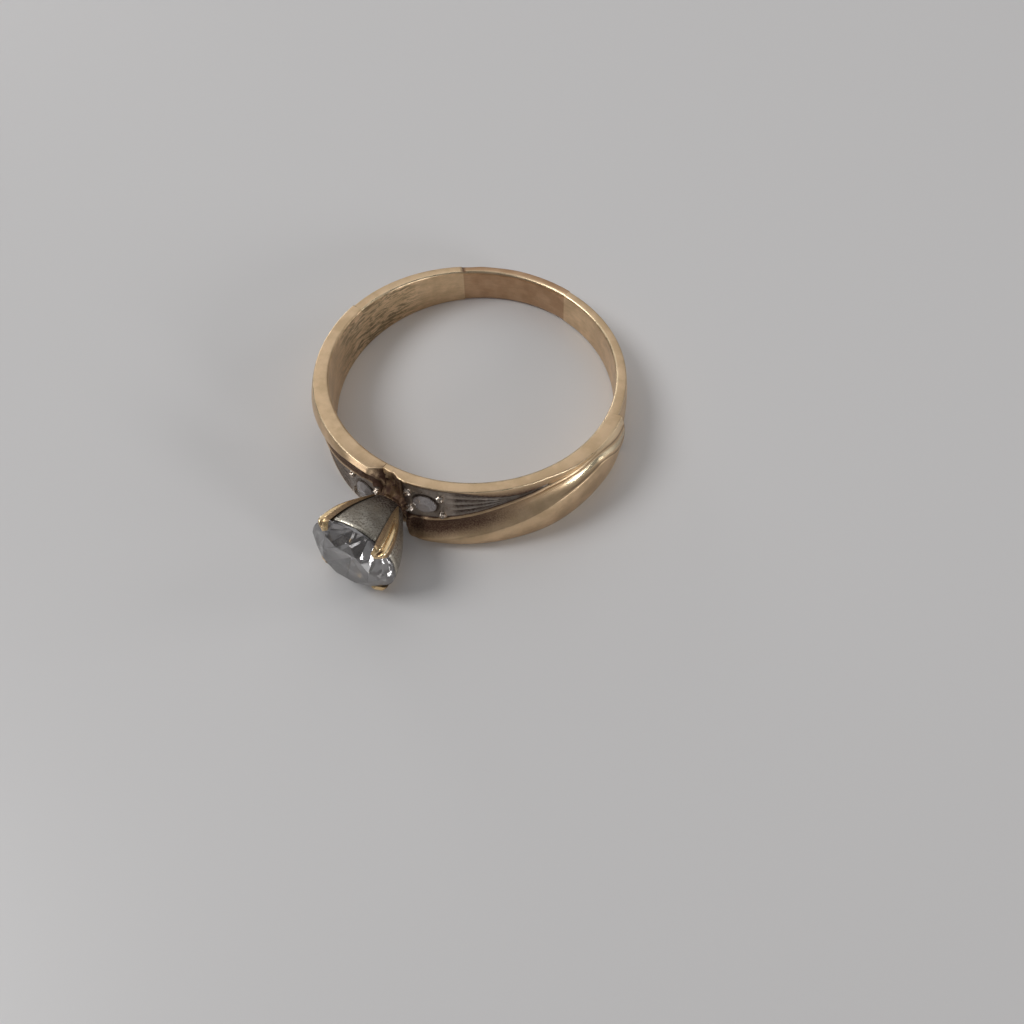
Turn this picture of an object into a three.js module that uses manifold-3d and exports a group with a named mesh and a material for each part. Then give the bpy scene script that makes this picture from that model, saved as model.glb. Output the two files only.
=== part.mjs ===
// Engagement ring: a two-colour crossover mount with a claw-set round stone and two bead-set side stones.
// Millimetres. The origin is the centre of the finger hole, +Z runs along the hole's axis and -Y points
// to the centre stone. Angles round the band start at the head and grow towards +X.
import * as THREE from 'three';
import { LoftGeometry } from 'three/addons/geometries/LoftGeometry.js';
import { mergeVertices } from 'three/addons/utils/BufferGeometryUtils.js';
import Module from 'manifold-3d';

// Band
const BORE_DIAMETER = 17.2;
const FRONT_WIDTH = 4.72;          // across the side faces at the bore, under the head
const BACK_WIDTH = 2.36;           // the same at the back
const SADDLE_WALL = 0.48;          // under the head
const PLATE_SIDE_WALL = 0.76;      // side face beside the white plate
const PLATE_SIDE_END_WALL = { right: 0.92, left: 0.74 }; // the same face where the plate has run out
const PLATE_WALL_START = 55;       // degrees: between these the wall changes from one to the other
const PLATE_WALL_END = 70;
const STRAND_SIDE_WALL = 0.97;     // side face beside the smooth strand
const STRAND_SIDE_END_WALL = 0.74; // the same face at the shank
const STRAND_WALL_START = 40;      // degrees: the same for the strand's side
const STRAND_WALL_END = 90;
const STRAND_EDGE_WALL = 1.14;     // along the flute's lower edge
const STRAND_EDGE_FRONT_WALL = 1.27; // the same near the head, where the strand is narrow
const STRAND_CROWN = 0.12;         // how far the strand bulges past its edges
const STRAND_FULL_WIDTH = 1.4;     // a strand this wide has its whole bulge
const SHOULDER_END_CROWN = 0.08;   // how far the shoulder bulges at the shank

// The right shoulder's strand is fuller than the left one's, most of all beside the flute's tip.
const SWELL = { right: 1, left: 0 };
const SWELL_FRONT = 0.27;
const SWELL_REAR = 0.45;
const SWELL_END = 0.25;
const SWELL_GROWTH_START = 42;     // degrees
const SWELL_GROWTH_END = 60;       // degrees
const SWELL_SIDE_SHARE = 0.6;      // share of the swelling at the side face
const SWELL_EDGE_SHARE = 0.95;     // share of it at the strand's edge
const SWELL_LIFT = 1.4;            // the strand's edge rises this much per unit of swelling

const SHANK_WALL = 0.66;           // shank's side faces at the shoulders
const BACK_WALL = 0.52;            // shank's side faces at the back
const SHANK_CROWN = 0.1;           // how far the shank bulges past its side faces
const RIM_WIDTH = 0.14;            // gold left standing beside the plate
const RIDGE_HEIGHT = 0.14;
const RIDGE_END_HEIGHT = 0.06;     // where the flute closes
const RIDGE_HALF_WIDTH = 0.12;
const FLUTE_DEPTH = 0.3;
const FLUTE_FULL_WIDTH = 1.1;      // a flute this wide has its whole depth
const FLUTE_CLOSING_START = 45;    // degrees: ridge and strand edge start to close on each other
const FEATURES_END = 84;           // degrees: the flute closes here
const FADE_START = 76;             // degrees: the relief starts to fade into the shank's plain section
const FADE_END = 95;               // degrees
const SHOULDER_END = 97;           // degrees: joint between shoulder and shank
const INSERT_START = 168;          // degrees
const INSERT_END = 214;            // degrees
const HEAD_JOINT_TILT = 14;        // degrees: lean of the joint between the two shoulders
const HEAD_OVERRUN = 12;           // degrees: a shoulder is carried this far past the head, then cut
const SHOULDER_STEP = 3;           // degrees between a shoulder's sections
const SHANK_STEP = 4;              // degrees between the shank's sections
const PLATE_CLIMB = 5;             // degrees: the plate's side is out of the saddle here
const SADDLE_REST = 3;             // degrees: the strand's side starts to climb here
const STRAND_CLIMB = 9;            // degrees: the strand's side is out of the saddle here

// White shoulder plates
const PLATE_THICKNESS = 0.28;
const PLATE_START = 5;             // degrees
const PLATE_END = 57;              // degrees
const PLATE_TAPER_START = 24;      // degrees: the plate leaves the side face here
const PLATE_END_WIDTH = 0.12;
const BEAD_DIAMETER = 0.44;
const BEAD_SPREAD_ROUND = 1;       // bead centres from the stone's, round the band
const BEAD_SPREAD_ACROSS = 0.78;   // bead centres from the stone's, across the band

// Side stones
const SIDE_STONE_DIAMETER = 1.4;
const SIDE_STONE_ANGLE = 12.8;     // degrees
const SIDE_STONE_OFFSET = 0.75;    // from the band's mid plane
const SIDE_STONE_SET = 0.03;       // girdle above the plate
const SIDE_TABLE_RATIO = 0.55;     // table over girdle
const SIDE_GIRDLE = 0.04;
const SEAT_REACH = 1;              // how far the seat's drill runs past both surfaces
const SEAT_HOLE_DIAMETER = 0.6;    // drilled through to the bore

// Centre stone and head
const STONE_DIAMETER = 5.4;
const TABLE_DIAMETER = 3.24;
const GIRDLE_THICKNESS = 0.1;
const CROWN_ANGLE = 38;            // degrees
const PAVILION_ANGLE = 41;         // degrees
const GIRDLE_HEIGHT = 4.37;        // underside of the girdle above the saddle
const BASE_DIAMETER = 1.9;
const BASE_WAIST = 1.5;
const BASE_HEIGHT = 0.8;
const BASE_COLLAR_AT = 0.25;       // share of the peg's height up to which it is full
const BASE_WAIST_AT = 0.6;         // share at which it is narrowest
const BASE_SINK = 0.1;             // how far the peg is let into the saddle
const CUP_FOOT_DIAMETER = 2;
const CUP_WALL = 0.25;
const CUP_SETBACK = 0.08;          // rim inside the girdle
const CUP_CORE = 0.2;              // the bowl's hollow narrows to this radius

// How far the bowl has opened and risen at the two points that pull its outline.
const BOWL_LOWER_PULL = { open: 0.43, rise: 0.33 };
const BOWL_UPPER_PULL = { open: 0.9, rise: 0.68 };

// Claws
const CLAW_THICKNESS = 0.2;
const CLAW_WIDTH = 1.12;
const CLAW_FOOT_WIDTH = 0.14;
const CLAW_TIP_WIDTH = 0.34;
const CLAW_GRIP = 0.26;            // how far the tip reaches in over the crown
const CLAW_TIP_THICKNESS = 0.2;
const CLAW_TIP_EDGE = 0.7;         // share of that left at the very end
const CLAW_FOOT_AT = 0.06;         // where a claw starts on the bowl's outline, from foot to rim
const CLAW_LEAVES_AT = 0.97;       // where it leaves the bowl
const CLAW_WIDEST_DROP = 0.45;     // the leaf's widest place below the girdle
const CLAW_FOOT_DROP = 0.2;        // the leaf's point below the bowl's foot
const CLAW_THICKENS_FROM = -0.3;   // a claw's thickness grows between these places on the outline
const CLAW_THICKENS_TO = 0.5;

// The leaf's width, as a share of its widest, between foot and widest place and between that and tip.
const CLAW_LEAF_LOWER = { width: 0.6, rise: 0.45 };
const CLAW_LEAF_UPPER = { width: 0.88, rise: 0.42 };

// Where the claws stand round the head's axis, from +X towards +Z, seen from the front.
const CLAW_ANGLES = { upper_right: 42, upper_left: 126, lower_left: 222, lower_right: 304 };

const CLEARANCE = 0.03;            // between neighbours that are soldered, set or let in

// Facets round each turned piece.
const STONE_FACETS = 32;
const SMALL_FACETS = 16;
const BASE_FACETS = 24;
const CUP_FACETS = 40;

const BORE_RADIUS = BORE_DIAMETER / 2;
const MID_HALF_WIDTH = (FRONT_WIDTH + BACK_WIDTH) / 4;
const TAPER = (FRONT_WIDTH - BACK_WIDTH) / (4 * BORE_RADIUS);
const SADDLE_RADIUS = BORE_RADIUS + SADDLE_WALL;

const wasm = await Module();
wasm.setup();

const { clamp, degToRad, lerp, radToDeg, smoothstep } = THREE.MathUtils;

function solid(geometry) {
  const bare = new THREE.BufferGeometry().copy(geometry);
  bare.deleteAttribute('normal');
  bare.deleteAttribute('uv');
  const merged = mergeVertices(bare, 1e-4);
  return new wasm.Manifold(new wasm.Mesh({
    numProp: 3,
    vertProperties: new Float32Array(merged.attributes.position.array),
    triVerts: new Uint32Array(merged.index.array),
  }));
}

function geometryOf(manifold) {
  const mesh = manifold.getMesh();
  const geometry = new THREE.BufferGeometry();
  geometry.setAttribute('position', new THREE.BufferAttribute(mesh.vertProperties, 3));
  geometry.setIndex(new THREE.BufferAttribute(mesh.triVerts, 1));
  geometry.computeVertexNormals();
  return geometry;
}

const polar = (radius, degrees, z) => new THREE.Vector3(
  radius * Math.sin(degToRad(degrees)), -radius * Math.cos(degToRad(degrees)), z);

const curve = (...points) => new THREE.SplineCurve(points.map(([x, y]) => new THREE.Vector2(x, y)));

// A spline read as height over angle: its points are evenly spaced, so the angle gives the parameter.
function heightAt(spline, degrees) {
  const first = spline.points[0].x;
  const last = spline.points[spline.points.length - 1].x;
  return spline.getPoint(clamp((degrees - first) / (last - first), 0, 1)).y;
}

// ---- Band: a closed section carried round the bore ----

// Half width of the band at a radius: the side faces are planes that close in towards the back.
const halfWidth = (radius, degrees) => MID_HALF_WIDTH + TAPER * radius * Math.cos(degToRad(degrees));

// The ridge beside the plate and the strand's edge, as offsets from the mid plane over the angle.
const ridgeLine = curve([0, -0.95], [14, -0.62], [28, 0.12], [42, 0.9], [56, 1.3], [70, 1.52], [84, 1.62]);
const strandLine = curve(
  [0, -2.2], [14, -2.24], [28, -1.62], [42, -0.95], [56, -0.28], [70, 0.3], [84, 0.62]);
const STRAND_LEAST_WIDTH = 0.1;
const ridgeOffset = (degrees) => heightAt(ridgeLine, degrees);
const topRadius = (degrees, side = 'right') => BORE_RADIUS
  + lerp(PLATE_SIDE_WALL, PLATE_SIDE_END_WALL[side], smoothstep(degrees, PLATE_WALL_START, PLATE_WALL_END));

// How much further out the strand stands on a side.
function swellAt(degrees, side) {
  const along = lerp(SWELL_FRONT, SWELL_REAR, smoothstep(degrees, SWELL_GROWTH_START, SWELL_GROWTH_END));
  const tail = lerp(along, SWELL_END, smoothstep(degrees, FEATURES_END, SHOULDER_END));
  return SWELL[side] * tail * smoothstep(degrees, PLATE_START, SIDE_STONE_ANGLE);
}

const strandOffset = (degrees, side) => Math.max(
  heightAt(strandLine, degrees) + SWELL_LIFT * swellAt(degrees, side),
  STRAND_LEAST_WIDTH - halfWidth(BORE_RADIUS + STRAND_SIDE_WALL, degrees));

const bottomRadius = (degrees, side) => BORE_RADIUS
  + lerp(STRAND_SIDE_WALL, STRAND_SIDE_END_WALL, smoothstep(degrees, STRAND_WALL_START, STRAND_WALL_END))
  + SWELL_SIDE_SHARE * swellAt(degrees, side);

const FLUTE_POINTS = 4;
const STRAND_POINTS = 4;
const RIDGE_INDEX = 3;
const EDGE_INDEX = RIDGE_INDEX + FLUTE_POINTS + 1;
const LAST_INDEX = EDGE_INDEX + STRAND_POINTS + 1;

// Section of the shoulder, from its upper side face across the plate, ridge, flute and strand.
function featurePoint(degrees, index, side) {
  const top = topRadius(degrees, side);
  const bottom = bottomRadius(degrees, side);
  const swell = swellAt(degrees, side);
  const ridge = ridgeOffset(degrees);
  const edge = strandOffset(degrees, side);
  const closing = smoothstep(degrees, FLUTE_CLOSING_START, FEATURES_END);
  const ridgeRadius = top + lerp(RIDGE_HEIGHT, RIDGE_END_HEIGHT, closing);
  const last = -halfWidth(bottom, degrees);
  const fullness = smoothstep(edge - last, 0, STRAND_FULL_WIDTH);
  const edgeWall = lerp(STRAND_EDGE_FRONT_WALL, STRAND_EDGE_WALL, fullness);
  const edgeRadius = lerp(BORE_RADIUS + edgeWall, ridgeRadius, closing) + SWELL_EDGE_SHARE * swell;
  const crown = lerp(STRAND_CROWN, SHOULDER_END_CROWN, closing) * fullness
    + (1 - (SWELL_SIDE_SHARE + SWELL_EDGE_SHARE) / 2) * swell;
  if (index === 0) return [top, halfWidth(top, degrees)];
  if (index === 1) return [top, halfWidth(top, degrees) - RIM_WIDTH];
  if (index === 2) return [top, ridge + RIDGE_HALF_WIDTH];
  if (index === RIDGE_INDEX) return [ridgeRadius, ridge];
  if (index === EDGE_INDEX) return [edgeRadius, edge];
  if (index < EDGE_INDEX) {
    const t = (index - RIDGE_INDEX) / (FLUTE_POINTS + 1);
    const depth = FLUTE_DEPTH * smoothstep(ridge - edge, 0, FLUTE_FULL_WIDTH);
    return [lerp(ridgeRadius, edgeRadius, t) - depth * 4 * t * (1 - t), lerp(ridge, edge, t)];
  }
  const t = (index - EDGE_INDEX) / (STRAND_POINTS + 1);
  return [lerp(edgeRadius, bottom, t) + crown * 4 * t * (1 - t), lerp(edge, last, t)];
}

// A plain D section between two edge radii.
function plainPoint(degrees, index, top, bottom, crown) {
  const t = index / LAST_INDEX;
  const radius = lerp(top, bottom, t) + crown * 4 * t * (1 - t);
  return [radius, halfWidth(radius, degrees) * (1 - 2 * t)];
}

// Outer surface of the shoulder at an angle from the head: it climbs out of the saddle, sooner on the
// plate's side than on the strand's, and loses its features towards the shank.
function shoulderPoint(degrees, index, side) {
  const t = index / LAST_INDEX;
  const [featureRadius, featureZ] = featurePoint(Math.min(degrees, FEATURES_END), index, side);
  const [plainRadius, plainZ] = plainPoint(
    degrees, index, topRadius(degrees, side), bottomRadius(degrees, side),
    SHOULDER_END_CROWN + SWELL_SIDE_SHARE * swellAt(degrees, side));
  const fade = smoothstep(degrees, FADE_START, FADE_END);
  const climb = smoothstep(degrees, lerp(0, SADDLE_REST, t), lerp(PLATE_CLIMB, STRAND_CLIMB, t));
  const radius = lerp(SADDLE_RADIUS, lerp(featureRadius, plainRadius, fade), climb);
  const width = halfWidth(radius, degrees);
  if (index === 0) return [radius, width];
  if (index === LAST_INDEX) return [radius, -width];
  const spread = smoothstep(degrees, 0, lerp(PLATE_CLIMB, STRAND_CLIMB, t));
  const z = lerp(width * (1 - 2 * t), lerp(featureZ, plainZ, fade), spread);
  return [radius, clamp(z, -width, width)];
}

// Outer surface of the shank: thinner than the shoulder, so each joint shows a small step.
function shankPoint(degrees, index) {
  const edge = BORE_RADIUS + lerp(SHANK_WALL, BACK_WALL, smoothstep(degrees, SHOULDER_END, 180));
  return plainPoint(degrees, index, edge, edge, SHANK_CROWN);
}

// The left half is a right half turned half a turn about the head's axis.
function bandSection(degrees, outerPoint) {
  const turned = degrees > 180 ? degrees - 360 : degrees;
  const outer = [];
  for (let index = 0; index <= LAST_INDEX; index += 1) {
    const [radius, z] = turned < 0
      ? outerPoint(-turned, LAST_INDEX - index)
      : outerPoint(turned, index);
    outer.push(polar(radius, degrees, turned < 0 ? -z : z));
  }
  const bore = halfWidth(BORE_RADIUS, degrees);
  return [polar(BORE_RADIUS, degrees, -bore), polar(BORE_RADIUS, degrees, bore), ...outer];
}

// A stretch of the band between two angles, both its ends held back by half a joint.
function bandArc(outerPoint, start, end, step) {
  const joint = radToDeg(CLEARANCE / 2 / BORE_RADIUS);
  const steps = Math.ceil((end - start) / step);
  const sections = [];
  for (let i = 0; i <= steps; i += 1) {
    sections.push(bandSection(lerp(start + joint, end - joint, i / steps), outerPoint));
  }
  return new LoftGeometry(sections, { capStart: true, capEnd: true });
}

// ---- Placing pieces on the band and on the head ----

// Turns a piece's +Y outwards at an angle round the band.
function onBand(object, degrees, radius, z) {
  object.position.copy(polar(radius, degrees, z));
  object.rotation.z = degToRad(degrees + 180);
  object.updateMatrixWorld(true);
  return object;
}

const placed = (geometry, place) => {
  const holder = place(new THREE.Object3D());
  return geometry.clone().applyMatrix4(holder.matrixWorld);
};

const lathe = (points, segments, start = 0) => new THREE.LatheGeometry(
  points.map(([radius, height]) => new THREE.Vector2(radius, height)), segments, start);

// Heights on the head are distances from the ring's centre along the head's axis.
const headAxis = (object) => {
  object.rotation.x = Math.PI;
  object.updateMatrixWorld(true);
  return object;
};

// ---- White plates and side stones ----

function plateSection(degrees, gap, outside) {
  const radius = topRadius(degrees);
  const low = ridgeOffset(degrees) + RIDGE_HALF_WIDTH;
  const wide = halfWidth(radius, degrees) - RIM_WIDTH;
  const high = lerp(wide, low + PLATE_END_WIDTH, smoothstep(degrees, PLATE_TAPER_START, PLATE_END));
  const floor = radius - PLATE_THICKNESS - gap;
  const face = radius + outside;
  return [
    polar(floor, degrees, low - gap),
    polar(floor, degrees, high + gap),
    polar(face, degrees, high + gap),
    polar(face, degrees, low - gap),
  ];
}

function plateGeometry(gap, outside) {
  const over = radToDeg(gap / BORE_RADIUS);
  const steps = 18;
  const sections = [];
  for (let i = 0; i <= steps; i += 1) {
    sections.push(plateSection(lerp(PLATE_START - over, PLATE_END + over, i / steps), gap, outside));
  }
  return new LoftGeometry(sections, { capStart: true, capEnd: true });
}

const SIDE_RADIUS = SIDE_STONE_DIAMETER / 2;
const SIDE_TABLE = SIDE_RADIUS * SIDE_TABLE_RATIO;
const SIDE_CROWN = (SIDE_RADIUS - SIDE_TABLE) * Math.tan(degToRad(CROWN_ANGLE));

// Half of a brilliant's outline from culet to table, its girdle's underside at height 0.
function stoneProfile(radius, table, girdle, crown, gap = 0) {
  return [
    [0, -(radius + gap) * Math.tan(degToRad(PAVILION_ANGLE))],
    [radius + gap, 0],
    [radius + gap, girdle],
    [table + gap, girdle + crown + gap],
    [0, girdle + crown + gap],
  ];
}

const sideStoneBase = topRadius(SIDE_STONE_ANGLE) + SIDE_STONE_SET;
const placeSideStone = (object) => onBand(object, SIDE_STONE_ANGLE, sideStoneBase, SIDE_STONE_OFFSET);
const sideStone = lathe(stoneProfile(SIDE_RADIUS, SIDE_TABLE, SIDE_GIRDLE, SIDE_CROWN), SMALL_FACETS);

// The seat clears the stone's pavilion and girdle and opens through the bore.
const seatFoot = BORE_RADIUS - sideStoneBase - SEAT_REACH;
const seatCone = (SEAT_HOLE_DIAMETER / 2 - SIDE_RADIUS) * Math.tan(degToRad(PAVILION_ANGLE));
const seatTool = placed(lathe([
  [0, seatFoot],
  [SEAT_HOLE_DIAMETER / 2, seatFoot],
  [SEAT_HOLE_DIAMETER / 2, seatCone - CLEARANCE],
  [SIDE_RADIUS + CLEARANCE, -CLEARANCE],
  [SIDE_RADIUS + CLEARANCE, SEAT_REACH],
  [0, SEAT_REACH],
], SMALL_FACETS), placeSideStone);

// Four beads raised from the plate, at the corners of a rectangle round the side stone.
function beads() {
  const radius = topRadius(SIDE_STONE_ANGLE);
  const turn = radToDeg(BEAD_SPREAD_ROUND / radius);
  const bead = new THREE.SphereGeometry(BEAD_DIAMETER / 2, 8, 6);
  const corners = [[1, 1], [-1, 1], [-1, -1], [1, -1]];
  return corners.map(([round, across]) => placed(bead, (object) => onBand(
    object, SIDE_STONE_ANGLE + round * turn, radius, SIDE_STONE_OFFSET + across * BEAD_SPREAD_ACROSS)));
}

// ---- Head ----

const girdleBase = SADDLE_RADIUS + GIRDLE_HEIGHT;
const stoneRadius = STONE_DIAMETER / 2;
const tableRadius = TABLE_DIAMETER / 2;
const crownHeight = (stoneRadius - tableRadius) * Math.tan(degToRad(CROWN_ANGLE));
const cupRimRadius = stoneRadius - CUP_SETBACK;
const cupFoot = SADDLE_RADIUS + BASE_HEIGHT + CLEARANCE;
const cupRim = girdleBase - CLEARANCE
  - (stoneRadius - cupRimRadius + CUP_WALL) * Math.tan(degToRad(PAVILION_ANGLE));

const centreStone = lathe(stoneProfile(stoneRadius, tableRadius, GIRDLE_THICKNESS, crownHeight)
  .map(([radius, height]) => [radius, height + girdleBase]), STONE_FACETS);

const headBase = lathe([
  [0, SADDLE_RADIUS - BASE_SINK],
  [BASE_DIAMETER / 2, SADDLE_RADIUS - BASE_SINK],
  [BASE_DIAMETER / 2, SADDLE_RADIUS + BASE_HEIGHT * BASE_COLLAR_AT],
  [BASE_WAIST / 2, SADDLE_RADIUS + BASE_HEIGHT * BASE_WAIST_AT],
  [BASE_DIAMETER / 2, SADDLE_RADIUS + BASE_HEIGHT],
  [0, SADDLE_RADIUS + BASE_HEIGHT],
], BASE_FACETS);

const baseTool = placed(lathe([
  [0, SADDLE_RADIUS - BASE_SINK - CLEARANCE],
  [BASE_DIAMETER / 2 + CLEARANCE, SADDLE_RADIUS - BASE_SINK - CLEARANCE],
  [BASE_DIAMETER / 2 + CLEARANCE, girdleBase],
  [0, girdleBase],
], BASE_FACETS), headAxis);

// Outer wall of the bowl, from its foot to its rim.
const bowlPoint = ({ open, rise }) => new THREE.Vector2(
  lerp(CUP_FOOT_DIAMETER / 2, cupRimRadius, open), lerp(cupFoot, cupRim, rise));
const bowl = new THREE.CubicBezierCurve(
  bowlPoint({ open: 0, rise: 0 }),
  bowlPoint(BOWL_LOWER_PULL),
  bowlPoint(BOWL_UPPER_PULL),
  bowlPoint({ open: 1, rise: 1 }),
);

// A point of the bowl's wall moved out along its normal.
function bowlOffset(t, distance) {
  const point = bowl.getPoint(t);
  const tangent = bowl.getTangent(t);
  return point.add(new THREE.Vector2(tangent.y, -tangent.x).multiplyScalar(distance));
}

const BOWL_STEPS = 8;
const along = (count, place) => Array.from({ length: count + 1 }, (_, i) => place(i / count));

const cupOutside = along(BOWL_STEPS, (t) => bowl.getPoint(t));
const cupInside = along(BOWL_STEPS, (t) => {
  const point = bowlOffset(1 - t, -CUP_WALL);
  return new THREE.Vector2(Math.max(point.x, CUP_CORE), Math.max(point.y, cupFoot + CUP_WALL));
});
const headCup = new THREE.LatheGeometry([
  new THREE.Vector2(0, cupFoot),
  ...cupOutside,
  new THREE.Vector2(cupRimRadius - CUP_WALL, cupRim),
  ...cupInside.slice(1),
  new THREE.Vector2(0, cupFoot + CUP_WALL),
], CUP_FACETS);

// Side view of a claw: up the bowl, past the girdle and down over the crown.
function clawSide() {
  const crownAt = (radius, gap) => girdleBase + GIRDLE_THICKNESS + gap
    + (stoneRadius - radius) * Math.tan(degToRad(CROWN_ANGLE));
  const inner = along(BOWL_STEPS, (t) => bowlOffset(lerp(CLAW_FOOT_AT, CLAW_LEAVES_AT, t), CLEARANCE));
  const outer = along(BOWL_STEPS, (t) => {
    const at = lerp(1, CLAW_FOOT_AT, t);
    const thickness = CLAW_THICKNESS * smoothstep(at, CLAW_THICKENS_FROM, CLAW_THICKENS_TO);
    return bowlOffset(at, CLEARANCE + thickness);
  });
  const shoulder = stoneRadius + CLEARANCE;
  const tip = stoneRadius - CLAW_GRIP;
  const slope = CLEARANCE / Math.cos(degToRad(CROWN_ANGLE));
  const shape = new THREE.Shape(inner);
  shape.lineTo(shoulder, girdleBase - CLEARANCE);
  shape.lineTo(shoulder, crownAt(stoneRadius, slope));
  shape.lineTo(tip, crownAt(tip, slope));
  shape.lineTo(tip, crownAt(tip, slope) + CLAW_TIP_THICKNESS * CLAW_TIP_EDGE);
  shape.quadraticCurveTo(
    shoulder + CLAW_THICKNESS, crownAt(stoneRadius, slope) + CLAW_TIP_THICKNESS,
    shoulder + CLAW_THICKNESS, girdleBase - CLEARANCE);
  outer.forEach((point) => shape.lineTo(point.x, point.y));
  return shape;
}

// Front view of a claw: a leaf, pointed at its foot and at its tip.
function clawLeaf() {
  const foot = cupFoot - CLAW_FOOT_DROP;
  const tip = girdleBase + GIRDLE_THICKNESS + crownHeight;
  const widest = girdleBase - CLAW_WIDEST_DROP;
  const half = CLAW_WIDTH / 2;
  const side = (sign) => [
    new THREE.Vector2(sign * CLAW_FOOT_WIDTH / 2, foot),
    new THREE.Vector2(sign * half * CLAW_LEAF_LOWER.width, lerp(foot, widest, CLAW_LEAF_LOWER.rise)),
    new THREE.Vector2(sign * half, widest),
    new THREE.Vector2(sign * half * CLAW_LEAF_UPPER.width, lerp(widest, tip, CLAW_LEAF_UPPER.rise)),
    new THREE.Vector2(sign * CLAW_TIP_WIDTH / 2, tip),
  ];
  const right = new THREE.SplineCurve(side(1)).getPoints(12);
  const left = new THREE.SplineCurve(side(-1)).getPoints(12).reverse();
  return new THREE.Shape([...right, ...left]);
}

const clawGeometry = (() => {
  const sideBlock = new THREE.ExtrudeGeometry(clawSide(), {
    depth: CLAW_WIDTH * 1.5, bevelEnabled: false, curveSegments: 5,
  }).translate(0, 0, -CLAW_WIDTH * 0.75);
  const leafBlock = new THREE.ExtrudeGeometry(clawLeaf(), {
    depth: STONE_DIAMETER, bevelEnabled: false,
  }).rotateY(Math.PI / 2);
  return geometryOf(solid(sideBlock).intersect(solid(leafBlock)));
})();

// ---- Cutting the shoulders and plates ----

const shoulderHalf = new THREE.BoxGeometry(40, 40, 40).translate(20 + CLEARANCE / 2, 0, 0)
  .rotateY(-degToRad(HEAD_JOINT_TILT));

const shoulder = (side) => geometryOf(solid(bandArc(
  (degrees, index) => shoulderPoint(degrees, index, side), -HEAD_OVERRUN, SHOULDER_END, SHOULDER_STEP))
  .intersect(solid(shoulderHalf))
  .subtract(solid(plateGeometry(CLEARANCE, 1)))
  .subtract(solid(seatTool))
  .subtract(solid(baseTool)));

const plate = geometryOf(beads()
  .reduce((body, bead) => body.add(solid(bead)), solid(plateGeometry(0, 0)))
  .subtract(solid(placed(lathe(stoneProfile(
    SIDE_RADIUS, SIDE_TABLE, SIDE_GIRDLE, SIDE_CROWN, CLEARANCE), SMALL_FACETS), placeSideStone)))
  .subtract(solid(baseTool)));

// ---- Assembly ----

const yellowGold = () => new THREE.MeshStandardMaterial({ color: '#c8a06a', roughness: 0.32, metalness: 1 });
const roseGold = () => new THREE.MeshStandardMaterial({ color: '#b9825a', roughness: 0.34, metalness: 1 });
const whiteGold = () => new THREE.MeshStandardMaterial({ color: '#a9a6a2', roughness: 0.3, metalness: 1 });
const brilliant = () => new THREE.MeshStandardMaterial({ color: '#dfe4ec', roughness: 0.05, metalness: 0 });

const ring = new THREE.Group();

function add(parent, name, geometry, material) {
  const mesh = new THREE.Mesh(geometry, material);
  mesh.name = name;
  parent.add(mesh);
  return mesh;
}

// Each side holds a shoulder, its plate and its stone; the left side is turned over.
for (const [side, turn] of [['right', 0], ['left', Math.PI]]) {
  const half = new THREE.Group();
  half.rotation.y = turn;
  ring.add(half);
  add(half, `shoulder_${side}`, shoulder(side), yellowGold());
  add(half, `plate_${side}`, plate, whiteGold());
  placeSideStone(add(half, `side_stone_${side}`, sideStone, brilliant()));
}

add(ring, 'shank_right', bandArc(shankPoint, SHOULDER_END, INSERT_START, SHANK_STEP), yellowGold());
add(ring, 'sizing_insert', bandArc(shankPoint, INSERT_START, INSERT_END, SHANK_STEP), roseGold());
add(ring, 'shank_left', bandArc(shankPoint, INSERT_END, 360 - SHOULDER_END, SHANK_STEP), yellowGold());

const head = headAxis(new THREE.Group());
ring.add(head);
add(head, 'head_base', headBase, whiteGold());
add(head, 'head_cup', headCup, whiteGold());
add(head, 'centre_stone', centreStone, brilliant());

for (const [corner, degrees] of Object.entries(CLAW_ANGLES)) {
  const claw = add(head, `claw_${corner}`, clawGeometry, yellowGold());
  claw.rotation.y = degToRad(degrees);
}

export default ring;
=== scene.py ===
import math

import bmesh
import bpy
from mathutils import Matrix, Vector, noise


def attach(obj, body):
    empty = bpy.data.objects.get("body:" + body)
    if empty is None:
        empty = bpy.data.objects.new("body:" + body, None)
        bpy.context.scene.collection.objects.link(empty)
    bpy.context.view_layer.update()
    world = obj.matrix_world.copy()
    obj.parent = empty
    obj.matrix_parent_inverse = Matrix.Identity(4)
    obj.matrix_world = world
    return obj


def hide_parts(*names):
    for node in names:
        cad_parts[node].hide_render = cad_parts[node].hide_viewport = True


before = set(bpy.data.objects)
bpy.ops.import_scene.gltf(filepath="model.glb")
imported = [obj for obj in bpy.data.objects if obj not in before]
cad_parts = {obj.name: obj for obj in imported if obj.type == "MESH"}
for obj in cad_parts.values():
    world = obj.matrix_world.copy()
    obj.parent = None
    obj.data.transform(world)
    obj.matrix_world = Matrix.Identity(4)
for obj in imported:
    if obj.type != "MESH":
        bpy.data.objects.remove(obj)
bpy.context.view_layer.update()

# Engagement ring: a two-colour crossover mount with a claw-set round stone in a white cup and a small
# bead-set stone on each shoulder. Shapes are worked out in millimetres and stored in metres. The origin
# is the centre of the finger hole, +Z runs along its axis and -Y points to the centre stone. Angles
# round the band start at the head and grow towards +X. Half a turn about the head's axis swaps the
# ring's two halves, apart from the strand on the right, which is fuller. Tuples of two angles are the
# start and end of a gradual change.

MM = 0.001

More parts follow.
